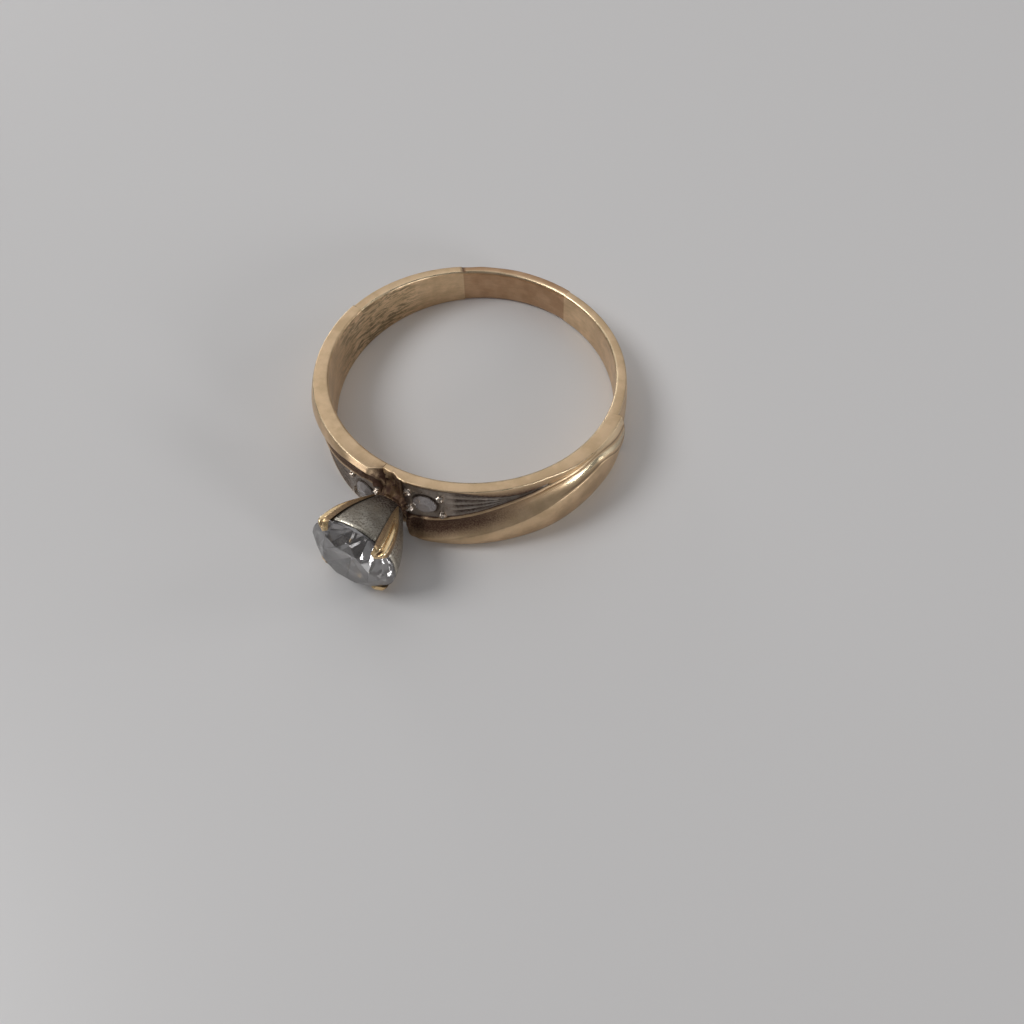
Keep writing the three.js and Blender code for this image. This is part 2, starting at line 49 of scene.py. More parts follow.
# Band
BORE_RADIUS = 8.6
FRONT_WIDTH = 4.72               # across the side faces at the bore, under the head
BACK_WIDTH = 2.36
SADDLE_WALL = 0.48
PLATE_SIDE_WALL = 0.76
PLATE_SIDE_END_WALL = {"right": 0.92, "left": 0.74}
PLATE_WALL_CHANGE = (55, 70)     # degrees between which the wall goes from one to the other
STRAND_SIDE_WALL = 0.97
STRAND_SIDE_END_WALL = 0.74
STRAND_WALL_CHANGE = (40, 90)
STRAND_EDGE_WALL = 1.14
STRAND_EDGE_FRONT_WALL = 1.27
STRAND_CROWN = 0.12
STRAND_FULL_WIDTH = 1.4
STRAND_LEAST_WIDTH = 0.1
SHOULDER_END_CROWN = 0.08
SWELL = {"right": 1, "left": 0}  # the right strand is fuller than the left one
SWELL_FRONT = 0.27
SWELL_REAR = 0.45
SWELL_END = 0.25
SWELL_GROWTH = (42, 60)          # degrees
SWELL_SIDE_SHARE = 0.6
SWELL_EDGE_SHARE = 0.95
SWELL_LIFT = 1.4                 # the strand's edge rises this much per unit of swelling
SHANK_WALL = 0.66
BACK_WALL = 0.52
SHANK_CROWN = 0.1
RIM_WIDTH = 0.14
RIDGE_HEIGHT = 0.14
RIDGE_END_HEIGHT = 0.06
RIDGE_HALF_WIDTH = 0.12
FLUTE_DEPTH = 0.3
FLUTE_FULL_WIDTH = 1.1
FLUTE_CLOSING_START = 45
FEATURES_END = 84
FADE = (76, 95)                  # degrees between which the relief fades into the plain section
SHOULDER_END = 97
HEAD_OVERRUN = 12                # a shoulder is carried this far past the head, then cut
INSERT_START = 168
INSERT_END = 214
INSERT_FULLNESS = 0.07           # the insert is a little thick on its right
INSERT_THINNING = (190, 203)
INSERT_STEP = 0.07               # and filed down at its left joint
INSERT_FILED = (206, 211)
HEAD_JOINT_TILT = 14
PLATE_CLIMB = 5
SADDLE_REST = 3
STRAND_CLIMB = 9
RIDGE_LINE = ((0, -0.95), (14, -0.62), (28, 0.12), (42, 0.9), (56, 1.3), (70, 1.52), (84, 1.62))
STRAND_LINE = ((0, -2.2), (14, -2.24), (28, -1.62), (42, -0.95), (56, -0.28), (70, 0.3), (84, 0.62))

# Rounding of the band's edges
RIM_ROUNDING = 0.09
RIDGE_ROUNDING = 0.035
STRAND_ROUNDING = 0.045
SHANK_ROUNDING = 0.07
BORE_ROUNDING = 0.18
INSERT_BORE_ROUNDING = 0.34

# White plates and their stones
PLATE_THICKNESS = 0.28
PLATE_START = 5
PLATE_END = 57
PLATE_TAPER_START = 24
PLATE_END_WIDTH = 0.12
PLATE_FIT = 0.01                 # room between the plate and its recess
PLATE_RECESS_MARGIN = 0.6        # degrees over which the recess deepens, before the plate and behind it
PLATE_RAYS = 4                   # engraved grooves fanning from the stone to the plate's point
RAY_DEPTH = 0.09
RAYS_GROW = (20, 25)
RAYS_FADE_START = 49
SEAT_DISH = 0.1                  # how deep the plate is cut away round its stone
PLATE_ROUGHNESS = 0.02
BEAD_RADIUS = 0.23
BEAD_RISE = 0.02                 # bead centres above the plate
BEAD_LUMPINESS = 0.55
BEAD_SPREAD_ROUND = 1.0
BEAD_SPREAD_ACROSS = 0.78
SIDE_STONE_RADIUS = 0.7
SIDE_STONE_ANGLE = 12.8
SIDE_STONE_OFFSET = 0.75
SIDE_STONE_SET = 0.03
SIDE_GIRDLE = 0.04
SIDE_TABLE_RATIO = 0.55

# Centre stone and head
STONE_RADIUS = 2.7
TABLE_RADIUS = 1.62
GIRDLE_THICKNESS = 0.1
CROWN_ANGLE = 38
PAVILION_ANGLE = 41
STAR_SLOPE = 0.63                # a star facet's slope over the crown's
FACET_EDGE = 1                   # degrees between faces past which a stone's edge is sharp
LOWER_HALF_STEEPER = 1.6         # degrees by which the facets beside the girdle are steeper below it
STONE_TURN = 14
GIRDLE_HEIGHT = 4.37
BASE_RADIUS = 0.95
BASE_WAIST = 0.75
BASE_HEIGHT = 0.8
CUP_FOOT_RADIUS = 1.0
CUP_WALL = 0.25
CUP_SETBACK = 0.08
CLAW_GRIP = 0.26
CLAW_ANGLES = {"upper_right": 42, "upper_left": 126, "lower_left": 222, "lower_right": 304}
CLEARANCE = 0.03

MID_HALF_WIDTH = (FRONT_WIDTH + BACK_WIDTH) / 4
TAPER = (FRONT_WIDTH - BACK_WIDTH) / (4 * BORE_RADIUS)
SADDLE_RADIUS = BORE_RADIUS + SADDLE_WALL
GIRDLE_BASE = SADDLE_RADIUS + GIRDLE_HEIGHT


# ---- Numbers ----

def lerp(a, b, t):
    return a + (b - a) * t


def smoothstep(x, low, high):
    t = min(max((x - low) / (high - low), 0), 1)
    return t * t * (3 - 2 * t)


def spline(points, t):
    """A point of the smooth curve through points, for t from 0 to 1."""
    last = len(points) - 1
    place = min(max(t, 0), 1) * last
    i = min(int(place), last - 1)
    w = place - i
    p0, p1, p2, p3 = (Vector(points[min(max(k, 0), last)]) for k in (i - 1, i, i + 1, i + 2))
    v0, v1 = (p2 - p0) / 2, (p3 - p1) / 2
    return ((2 * p1 - 2 * p2 + v0 + v1) * w ** 3
            + (3 * p2 - 3 * p1 - 2 * v0 - v1) * w ** 2
            + v0 * w + p1)


def bezier(points, t):
    """A point of the Bezier curve with these control points."""
    points = [Vector(point) for point in points]
    while len(points) > 1:
        points = [a.lerp(b, t) for a, b in zip(points, points[1:])]
    return points[0]


def height_at(line, degrees):
    return spline(line, (degrees - line[0][0]) / (line[-1][0] - line[0][0])).y


def polar(radius, degrees, z):
    angle = math.radians(degrees)
    return Vector((radius * math.sin(angle), -radius * math.cos(angle), z))


def rounded(corners, steps=4):
    """An outline's corners, each (x, y, rounding), with the rounded ones turned into short arcs."""
    outline = []
    count = len(corners)
    for i, (x, y, size) in enumerate(corners):
        here = Vector((x, y))
        if size == 0:
            outline.append(here)
            continue
        before = Vector(corners[i - 1][:2]) - here
        after = Vector(corners[(i + 1) % count][:2]) - here
        start = here + before.normalized() * min(size, before.length * 0.45)
        end = here + after.normalized() * min(size, after.length * 0.45)
        for k in range(steps + 1):
            t = k / steps
            outline.append(start.lerp(here, t).lerp(here.lerp(end, t), t))
    return outline


# ---- Meshes ----

def net(across, along, place, closed=True, dirt_and_painted_light=None):
    """A sheet of quads with place(i, k) for each of its points; a closed one has its ends filled."""
    bm = bmesh.new()
    bmesh.ops.create_grid(bm, x_segments=across, y_segments=along, size=1)
    layer = bm.verts.layers.float.new("dirt_and_painted_light")
    for vert in bm.verts:
        i = round((vert.co.x + 1) / 2 * across)
        k = round((vert.co.y + 1) / 2 * along)
        vert.co = place(i, k)
        vert[layer] = dirt_and_painted_light(i, k) if dirt_and_painted_light else 0
    if closed:
        seal(bm)
    return bm


def seal(bm):
    bmesh.ops.remove_doubles(bm, verts=bm.verts, dist=1e-4)
    bmesh.ops.dissolve_degenerate(bm, edges=bm.edges, dist=1e-5)
    bmesh.ops.holes_fill(bm, edges=[e for e in bm.edges if e.is_boundary], sides=0)
    bmesh.ops.recalc_face_normals(bm, faces=bm.faces)


def spun(profile, steps, dirt_and_painted_light=None):
    """A profile of (radius, height) points turned full circle about Z."""
    bm = bmesh.new()
    layer = bm.verts.layers.float.new("dirt_and_painted_light")
    verts = [bm.verts.new((radius, 0, height)) for radius, height in profile]
    for vert in verts:
        vert[layer] = dirt_and_painted_light(vert.co) if dirt_and_painted_light else 0
    edges = [bm.edges.new(pair) for pair in zip(verts, verts[1:])]
    bmesh.ops.spin(bm, geom=verts + edges, cent=(0, 0, 0), axis=(0, 0, 1), dvec=(0, 0, 0),
                   angle=math.tau, steps=steps, use_merge=True, use_duplicate=False)
    seal(bm)
    return bm


def turned(bm, matrix):
    bmesh.ops.transform(bm, matrix=matrix, verts=bm.verts)
    return bm


def piece(name, bm, finish, nodes=(), sharp=35):
    """Stores a shape as a finished piece that rides on the ring."""
    bmesh.ops.scale(bm, vec=(MM, MM, MM), verts=bm.verts)
    mesh = bpy.data.meshes.new(name)
    bm.to_mesh(mesh)
    bm.free()
    mesh.materials.append(finish)
    mesh.polygons.foreach_set("use_smooth", [True] * len(mesh.polygons))
    mesh.set_sharp_from_angle(angle=math.radians(sharp))
    made = bpy.data.objects.new(name, mesh)
    bpy.context.scene.collection.objects.link(made)
    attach(made, "root")
    if nodes:
        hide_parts(*nodes)
    return made


# Lays a piece that was made standing on Z along the head's axis, with its top towards -Y.
HEAD = Matrix(((1, 0, 0), (0, 0, -1), (0, 1, 0))).to_4x4()


# ---- Shader nodes ----

class Value:
    """A number that changes over a surface; arithmetic on it adds Math nodes."""

    def __init__(self, finish, socket):
        self.finish = finish
        self.socket = socket

    def math(self, operation, *others):
        made = self.finish.node("ShaderNodeMath", {"operation": operation},
                                dict(enumerate((self, *others))))
        return Value(self.finish, made.outputs[0])

    def __add__(self, other):
        return self.math("ADD", other)

    def __sub__(self, other):
        return self.math("SUBTRACT", other)

    def __mul__(self, other):
        return self.math("MULTIPLY", other)

    def __rsub__(self, other):
        return self.finish.number(other).math("SUBTRACT", self)

    __radd__ = __add__
    __rmul__ = __mul__

    def clamped(self):
        return self.math("MINIMUM", 1.0).math("MAXIMUM", 0.0)

    def ramp(self, low, high):
        """0 below low, 1 above high and smooth between."""
        made = self.finish.node("ShaderNodeMapRange", {"interpolation_type": "SMOOTHSTEP"},
                                {"Value": self, "From Min": low, "From Max": high})
        return Value(self.finish, made.outputs["Result"])


class Finish:
    """One material: a Principled shader and the nodes that feed it."""

    def __init__(self, name, **constants):
        self.material = bpy.data.materials.new(name)
        self.material.use_nodes = True
        self.tree = self.material.node_tree
        self.shader = self.tree.nodes["Principled BSDF"]
        for socket, value in constants.items():
            self.shader.inputs[socket.replace("_", " ")].default_value = value
        self.coordinates = self.node("ShaderNodeTexCoord", {}, {}).outputs["Object"]

    def node(self, kind, settings, inputs):
        made = self.tree.nodes.new(kind)
        for setting, value in settings.items():
            setattr(made, setting, value)
        for socket, value in inputs.items():
            if isinstance(value, Value):
                value = value.socket
            if isinstance(value, bpy.types.NodeSocket):
                self.tree.links.new(value, made.inputs[socket])
            else:
                made.inputs[socket].default_value = value
        return made

    def number(self, value):
        made = self.node("ShaderNodeMath", {"operation": "ADD"}, {0: value, 1: 0.0})
        return Value(self, made.outputs[0])

    def attribute(self, name):
        made = self.node("ShaderNodeAttribute", {"attribute_name": name}, {})
        return Value(self, made.outputs["Fac"])

    def scaled(self, x, y, z):
        """Object coordinates in millimetres, stretched along each axis."""
        made = self.node("ShaderNodeVectorMath", {"operation": "MULTIPLY"},
                         {0: self.coordinates, 1: (x / MM, y / MM, z / MM)})
        return made.outputs[0]

    def band_place(self):
        """Angle from the head, distance from the hole's axis and offset from the mid plane."""
        split = self.node("ShaderNodeSeparateXYZ", {}, {0: self.scaled(1, 1, 1)})
        x, y, z = (Value(self, split.outputs[k]) for k in range(3))
        return x.math("ARCTAN2", y * -1), (x * x + y * y).math("SQRT"), z

    def round_band(self, along, outward, across):
        """Coordinates that follow the band: round the hole, away from it and across."""
        angle, radius, z = self.band_place()
        made = self.node("ShaderNodeCombineXYZ", {}, {
            0: angle * (BORE_RADIUS * along), 1: radius * outward, 2: z * across})
        return made.outputs[0]

    def noise(self, vector, detail=4.0, roughness=0.55, distortion=0.0):
        made = self.node("ShaderNodeTexNoise", {}, {
            "Vector": vector, "Scale": 1.0, "Detail": detail,
            "Roughness": roughness, "Distortion": distortion})
        return Value(self, made.outputs["Fac"])

    def mixed(self, factor, first, second):
        made = self.node("ShaderNodeMix", {"data_type": "RGBA"}, {0: factor, 6: first, 7: second})
        return made.outputs[2]

    def feed(self, socket, value):
        if isinstance(value, Value):
            value = value.socket
        self.tree.links.new(value, self.shader.inputs[socket])

    def bump(self, height, distance):
        made = self.node("ShaderNodeBump", {}, {"Height": height, "Strength": 1.0, "Distance": distance * MM})
        self.feed("Normal", made.outputs[0])


def colour(red, green, blue):
    return (red, green, blue, 1.0)


# Where a piece's mark is positive it is darkened with dirt and painted shade; where negative, lightened with
# rubbed wear and painted highlights.
RUBBED_AND_HIGHLIGHT = colour(0.96, 0.80, 0.54)
DIRT_AND_SHADE = colour(0.085, 0.038, 0.022)
WHITE_METAL_DIRT_AND_SHADE = colour(0.06, 0.036, 0.026)
SCRATCH = colour(0.16, 0.13, 0.075)
STONE = colour(1.0, 0.98, 0.97)
THIN_FILM = colour(0.46, 0.40, 0.38)
THICK_FILM = colour(0.76, 0.69, 0.67)
DIAMOND_IOR = 2.417


def gold_finish(name, bright, dull, roughness=0.27, band=True):
    """Worn gold: patches of two tones, a brushed grain, dirt and painted shade in its recesses, and rubbed
    edges that also carry painted highlights. On the band the brushing runs round the finger hole."""
    finish = Finish(name, Metallic=1.0)
    patches = finish.noise(finish.scaled(0.9, 0.9, 0.9), detail=5.0)
    grain = finish.noise(finish.scaled(14, 14, 14), detail=3.0)
    mark = finish.attribute("dirt_and_painted_light")
    # Positive mark: dirt and painted shade; negative mark: rubbed wear and painted highlights.
    dirt_and_painted_light = (mark * (0.45 + grain * 1.1) + (patches - 0.5) * 0.25).clamped()
    rubbed_and_highlit = (mark * -1).clamped()
    worn = finish.mixed(patches.ramp(0.35, 0.7), dull, bright)
    if band:
        brushed = finish.noise(finish.round_band(1.2, 14, 22), detail=5.0, roughness=0.65)
        worn = finish.mixed(bore_scratches(finish, patches), worn, SCRATCH)
    else:
        brushed = finish.noise(finish.scaled(18, 5, 18), detail=4.0)
    finish.feed("Base Color", finish.mixed(dirt_and_painted_light, finish.mixed(rubbed_and_highlit, worn, RUBBED_AND_HIGHLIGHT), DIRT_AND_SHADE))
    plain = roughness + brushed.ramp(0.3, 0.75) * 0.14 + patches * 0.06
    finish.feed("Roughness", plain * (1 - rubbed_and_highlit * 0.5) + dirt_and_painted_light * 0.3)
    finish.feed("Metallic", 1 - dirt_and_painted_light * 0.6)
    finish.bump(brushed * 0.6 + grain * 0.5 + patches * 0.4, 0.014)
    return finish.material


def bore_scratches(finish, patches):
    """Dark scratches inside the bore, on the left between the shoulder and the insert."""
    angle, radius, _ = finish.band_place()
    inside = 1 - radius.ramp(BORE_RADIUS + 0.02, BORE_RADIUS + 0.08)
    left = (angle * -1).ramp(1.2, 1.6) * (1 - (angle * -1).ramp(2.0, 2.3))
    lines = finish.noise(finish.round_band(1.1, 1, 5), detail=6.0, roughness=0.7, distortion=0.9)
    return inside * (left * 0.75 + 0.12) * lines.ramp(0.42, 0.6) * (0.5 + patches * 0.8)


def white_metal_finish(name, roughness, bright, dull, speckle):
    """Worn white gold, darkened with dirt and painted shade where its mark is positive; speckle is how dirty
    its grain is.
    """
    finish = Finish(name, Metallic=1.0)
    patches = finish.noise(finish.scaled(1.3, 1.3, 1.3), detail=5.0)
    grain = finish.noise(finish.scaled(9, 9, 9), detail=4.0, roughness=0.65)
    dirt_and_painted_light = (finish.attribute("dirt_and_painted_light") * (0.6 + grain * 0.7) + (patches - 0.5) * 0.5
             + grain.ramp(0.45, 0.62) * speckle).clamped()
    worn = finish.mixed(patches.ramp(0.4, 0.7), dull, bright)
    finish.feed("Base Color", finish.mixed(dirt_and_painted_light, worn, WHITE_METAL_DIRT_AND_SHADE))
    finish.feed("Roughness", roughness + grain.ramp(0.35, 0.7) * 0.14 + dirt_and_painted_light * 0.3)
    finish.feed("Metallic", 1 - dirt_and_painted_light * 0.5)
    finish.bump(grain * 0.8 + patches, 0.02)
    return finish.material


def diamond_finish(film_strength, dust=0.0):
    """Clear stone whose underside wears a greyish film; dust is the film's strength on its other faces."""
    finish = Finish("diamond", IOR=DIAMOND_IOR, Transmission_Weight=1.0, Base_Color=STONE)
    smear = finish.noise(finish.scaled(1.5, 1.5, 1.5), detail=3.0)
    finish.feed("Roughness", smear.ramp(0.55, 0.8) * 0.05)
    film = finish.node("ShaderNodeBsdfPrincipled", {}, {
        "Base Color": finish.mixed(smear.ramp(0.3, 0.7), THIN_FILM, THICK_FILM),
        "Roughness": 0.6})
    factor = dust + finish.attribute("dirt_and_painted_light").ramp(0.02, 0.2) * (film_strength - dust - smear * 0.3)
    blend = finish.node("ShaderNodeMixShader", {}, {
        0: factor, 1: finish.shader.outputs[0], 2: film.outputs[0]})
    output = finish.tree.nodes["Material Output"]
    finish.tree.links.new(blend.outputs[0], output.inputs["Surface"])
    return finish.material


YELLOW = gold_finish("yellow_gold", colour(0.86, 0.63, 0.40), colour(0.67, 0.48, 0.29), roughness=0.29)
POLISHED = gold_finish("yellow_gold_polished", colour(0.95, 0.70, 0.38), colour(0.86, 0.60, 0.32),
                       roughness=0.12, band=False)
ROSE = gold_finish("rose_gold", colour(0.64, 0.42, 0.26), colour(0.50, 0.31, 0.18), roughness=0.32)
WHITE = white_metal_finish("white_metal", 0.2, colour(0.72, 0.64, 0.56), colour(0.50, 0.42, 0.35), 0.1)
CUP_WHITE = white_metal_finish("white_metal_cup", 0.24, colour(0.70, 0.66, 0.57), colour(0.46, 0.42, 0.35),
                               0.4)
SOLDER = gold_finish("solder", colour(0.80, 0.58, 0.34), colour(0.30, 0.19, 0.11), band=False)
DIAMOND = diamond_finish(0.48)
SMALL_DIAMOND = diamond_finish(0.95, 0.38)


# ---- Band ----

# Points of a section: across the flute, the strand and the shank's outer face, and round the bore.
FLUTE_POINTS = 11
STRAND_POINTS = 11
SHANK_POINTS = 14
BORE_POINTS = 11


def half_width(radius, degrees):
    return MID_HALF_WIDTH + TAPER * radius * math.cos(math.radians(degrees))


def ridge_offset(degrees):
    return height_at(RIDGE_LINE, degrees)


def strand_offset(degrees, side):
    least = STRAND_LEAST_WIDTH - half_width(BORE_RADIUS + STRAND_SIDE_WALL, degrees)
    return max(height_at(STRAND_LINE, degrees) + SWELL_LIFT * swell_at(degrees, side), least)


def top_radius(degrees, side="right"):
    change = smoothstep(degrees, *PLATE_WALL_CHANGE)
    return BORE_RADIUS + lerp(PLATE_SIDE_WALL, PLATE_SIDE_END_WALL[side], change)


def swell_at(degrees, side):
    """How much further out the strand stands on a side."""
    along = lerp(SWELL_FRONT, SWELL_REAR, smoothstep(degrees, *SWELL_GROWTH))
    tail = lerp(along, SWELL_END, smoothstep(degrees, FEATURES_END, SHOULDER_END))
    return SWELL[side] * tail * smoothstep(degrees, PLATE_START, SIDE_STONE_ANGLE)


def bottom_radius(degrees, side):
    wall = lerp(STRAND_SIDE_WALL, STRAND_SIDE_END_WALL, smoothstep(degrees, *STRAND_WALL_CHANGE))
    return BORE_RADIUS + wall + SWELL_SIDE_SHARE * swell_at(degrees, side)


def plate_edges(degrees):
    """The plate's lower and upper edges, as offsets from the mid plane."""
    low = ridge_offset(degrees) + RIDGE_HALF_WIDTH
    wide = half_width(top_radius(degrees), degrees) - RIM_WIDTH
    high = lerp(wide, low + PLATE_END_WIDTH, smoothstep(degrees, PLATE_TAPER_START, PLATE_END))
    return low, high


def shoulder_features(degrees, side):
    """Corners of the shoulder's outer surface from its upper side face to its lower one."""
    top = top_radius(degrees, side)
    bottom = bottom_radius(degrees, side)
    swell = swell_at(degrees, side)
    closing = smoothstep(degrees, FLUTE_CLOSING_START, FEATURES_END)
    ridge = ridge_offset(degrees)
    edge = strand_offset(degrees, side)
    last = -half_width(bottom, degrees)
    fullness = smoothstep(edge - last, 0, STRAND_FULL_WIDTH)
    ridge_radius = top + lerp(RIDGE_HEIGHT, RIDGE_END_HEIGHT, closing)
    edge_wall = lerp(STRAND_EDGE_FRONT_WALL, STRAND_EDGE_WALL, fullness)
    edge_radius = lerp(BORE_RADIUS + edge_wall, ridge_radius, closing) + SWELL_EDGE_SHARE * swell
    crown = (lerp(STRAND_CROWN, SHOULDER_END_CROWN, closing) * fullness
             + (1 - (SWELL_SIDE_SHARE + SWELL_EDGE_SHARE) / 2) * swell)
    low, high = plate_edges(degrees)
    begun = smoothstep(degrees, PLATE_START - PLATE_RECESS_MARGIN, PLATE_START)
    over = smoothstep(degrees, PLATE_END, PLATE_END + PLATE_RECESS_MARGIN)
    floor = top - PLATE_THICKNESS * (begun * (1 - over))
    points = [
        (top, half_width(top, degrees), RIM_ROUNDING),
        (top, high + 2 * PLATE_FIT, 0),
        (floor, high + PLATE_FIT, 0),
        (floor, low - PLATE_FIT, 0),
        (top + 2 * PLATE_FIT, low - 2 * PLATE_FIT, 0),
        (ridge_radius, ridge, RIDGE_ROUNDING),
    ]
    depth = FLUTE_DEPTH * smoothstep(ridge - edge, 0, FLUTE_FULL_WIDTH)
    for i in range(1, FLUTE_POINTS + 1):
        t = i / (FLUTE_POINTS + 1)
        points.append((lerp(ridge_radius, edge_radius, t) - depth * 4 * t * (1 - t), lerp(ridge, edge, t), 0))
    points.append((edge_radius, edge, STRAND_ROUNDING))
    for i in range(1, STRAND_POINTS + 1):
        t = i / (STRAND_POINTS + 1)
        points.append((lerp(edge_radius, bottom, t) + crown * 4 * t * (1 - t), lerp(edge, last, t), 0))
    points.append((bottom, last, RIM_ROUNDING))
    return points


def shoulder_corners(degrees, side):
    """The same corners where the surface climbs out of the saddle and where it fades into the shank."""
    features = shoulder_features(min(degrees, FEATURES_END), side)
    count = len(features) - 1
    fade = smoothstep(degrees, *FADE)
    top = top_radius(degrees, side)
    bottom = bottom_radius(degrees, side)
    end_crown = SHOULDER_END_CROWN + SWELL_SIDE_SHARE * swell_at(degrees, side)
    corners = []
    for i, (feature_radius, feature_z, rounding) in enumerate(features):
        t = i / count
        plain_radius = lerp(top, bottom, t) + end_crown * 4 * t * (1 - t)
        climb = smoothstep(degrees, lerp(0, SADDLE_REST, t), lerp(PLATE_CLIMB, STRAND_CLIMB, t))
        radius = lerp(SADDLE_RADIUS, lerp(feature_radius, plain_radius, fade), climb)
        width = half_width(radius, degrees)
        plain_z = half_width(plain_radius, degrees) * (1 - 2 * t)
        spread = smoothstep(degrees, 0, lerp(PLATE_CLIMB, STRAND_CLIMB, t))
        z = lerp(width * (1 - 2 * t), lerp(feature_z, plain_z, fade), spread)
        if i == 0:
            z = width
        if i == count:
            z = -width
        corners.append((radius, min(max(z, -width), width), rounding))
    return corners


def shank_corners(degrees):
    turned_degrees = min(degrees, 360 - degrees)
    edge = BORE_RADIUS + lerp(SHANK_WALL, BACK_WALL, smoothstep(turned_degrees, SHOULDER_END, 180))
    if INSERT_START <= degrees <= INSERT_END:
        edge += INSERT_FULLNESS * (1 - smoothstep(degrees, *INSERT_THINNING))
        edge -= INSERT_STEP * smoothstep(degrees, *INSERT_FILED)
    corners = []
    for i in range(SHANK_POINTS + 1):
        t = i / SHANK_POINTS
        radius = edge + SHANK_CROWN * 4 * t * (1 - t)
        rounding = SHANK_ROUNDING if i in (0, SHANK_POINTS) else 0
        corners.append((radius, half_width(radius, degrees) * (1 - 2 * t), rounding))
    return corners


def band_section(degrees, corners_at, edge=BORE_ROUNDING):
    """The closed section: the bore's two rounded edges, then the outer surface. Behind the head's axis
    it is the other shoulder's section, half turned."""
    if degrees < 0:
        section = band_section(-degrees, corners_at, edge)
        inner = [Vector((radius, -z)) for radius, z in reversed(section[:BORE_POINTS])]
        outer = [Vector((radius, -z)) for radius, z in reversed(section[BORE_POINTS:])]
        return inner + outer
    half = half_width(BORE_RADIUS, degrees)
    bore = [(BORE_RADIUS, -half, edge), (BORE_RADIUS, 0, 0), (BORE_RADIUS, half, edge)]
    return rounded([*bore, *corners_at(degrees)])


def band_arc(corners_at, start, end, step, dirt_and_painted_light_at=None, edge=BORE_ROUNDING):
    steps = math.ceil((end - start) / step)
    angles = [lerp(start, end, k / steps) for k in range(steps + 1)]
    sections = [band_section(degrees, corners_at, edge) for degrees in angles]
    count = len(sections[0])

    def place(i, k):
        radius, z = sections[k][i % count]
        return polar(radius, angles[k], z)

    def dirt_and_painted_light(i, k):
        return dirt_and_painted_light_at(i % count - BORE_POINTS, angles[k], place(i, k)) if dirt_and_painted_light_at else 0

    return net(count, steps, place, dirt_and_painted_light=dirt_and_painted_light)


SHOULDER_STEP = 0.5              # degrees between sections
SHANK_STEP = 0.7
END_FACE = SHOULDER_END - SHOULDER_STEP

# Points of a shoulder's section, counted from its upper side face; those below 0 are the bore's.
PLATE_SEAT = (5, 8)
RIDGE_TOP = (9, 13)
STRAND_EDGE = (25, 29)
# Edges lightened as rubbed wear together with a painted highlight.
RUBBED_HIGHLIT_EDGES = (-3, -2, 2, 3, 41, 42, 43)
EDGE_WEAR_AND_HIGHLIGHT = -0.5
SIDE_FACE_DIRT = 0.12
HEAD_DARKENING_REACH = (1.3, 3.5)     # millimetres from the head's axis over which the darkening thins out

# Solder lies in lumps round the head's foot.
SOLDER_REACH = (1.8, 2.9)
SOLDER_OUTSIDE = (BORE_RADIUS + 0.25, BORE_RADIUS + 0.45)
SOLDER_LUMPS = ((2.1, 0.24), (5.3, 0.14))  # lumps in a millimetre, and their height
SOLDER_LEAST = -0.05             # the lowest hollow between them


def flute_place(outer):
    """How far a point lies across the flute, and how far from its nearer edge."""
    across = (outer - RIDGE_TOP[1]) / (STRAND_EDGE[0] - RIDGE_TOP[1])
    return across, min(across, 1 - across)


def flute_painted_shade(outer, degrees):
    """Painted shade in the flute: dark beside the head, and near its tip only along its edges."""
    across, inwards = flute_place(outer)
    shaded = lerp(0.95, 0.1, smoothstep(degrees, 28, 62)) * (1 - 0.6 * smoothstep(across, 0.6, 1))
    lines = 0.8 * smoothstep(degrees, 54, 66) * (1 - smoothstep(inwards, 0.05, 0.25))
    return max(shaded, lines)


# A painted highlight down the middle of the flute near its tip.
def flute_painted_highlight(outer, degrees):
    _, inwards = flute_place(outer)
    return smoothstep(degrees, 60, 68) * smoothstep(inwards, 0.25, 0.4)


def shoulder_dirt_and_painted_light(outer, degrees, point):
    """Darkening (up to 1) and lightening (down to -1) on a shoulder, by the point's number on its section:
    painted shade in the flute and on the end face, dirt on the side faces, darkening near the head and in the
    plate's recess, painted highlights on the crests and near the flute's tip, and rubbed wear with painted
    highlight on the edges.
    """
    head = (1 - smoothstep(point.xz.length, *HEAD_DARKENING_REACH)) * (1.15 + 1.1 * noise.noise(point * 2.5))
    # Rubbed edges: wear together with a painted highlight.
    if outer in RUBBED_HIGHLIT_EDGES and degrees < END_FACE:
        return EDGE_WEAR_AND_HIGHLIGHT * (1 - head)
    if degrees < 0 or outer < 0:
        return head * 0.5 if outer >= 5 else 0
    # Side faces carry dirt, and painted shade beside the end face.
    if outer < PLATE_SEAT[0]:
        return max(head * 0.3, SIDE_FACE_DIRT, 0.4 * (degrees > END_FACE))
    # Painted shade on the end face, where the shoulder steps down to the shank.
    if degrees > END_FACE:
        return 0.9
    if outer <= PLATE_SEAT[1]:
        begun = smoothstep(degrees, PLATE_START, PLATE_START + 2)
        over = smoothstep(degrees, 50, PLATE_END + 4)
        return max(head, begun * (1 - over)) - 0.4 * smoothstep(degrees, 60, 66)
    # Painted highlight along the ridge's top and the strand's edge.
    if RIDGE_TOP[0] <= outer <= RIDGE_TOP[1] or STRAND_EDGE[0] <= outer <= STRAND_EDGE[1]:
        return max(head * 0.7, -0.8 * smoothstep(degrees, 12, 24))
    # Painted shade in the flute, with a painted highlight near its tip.
    if outer < STRAND_EDGE[0]:
        return max(head, flute_painted_shade(outer, degrees)) - 1.2 * flute_painted_highlight(outer, degrees)
    return max(head, 0.35 * (1 - smoothstep(degrees, 8, 30)))


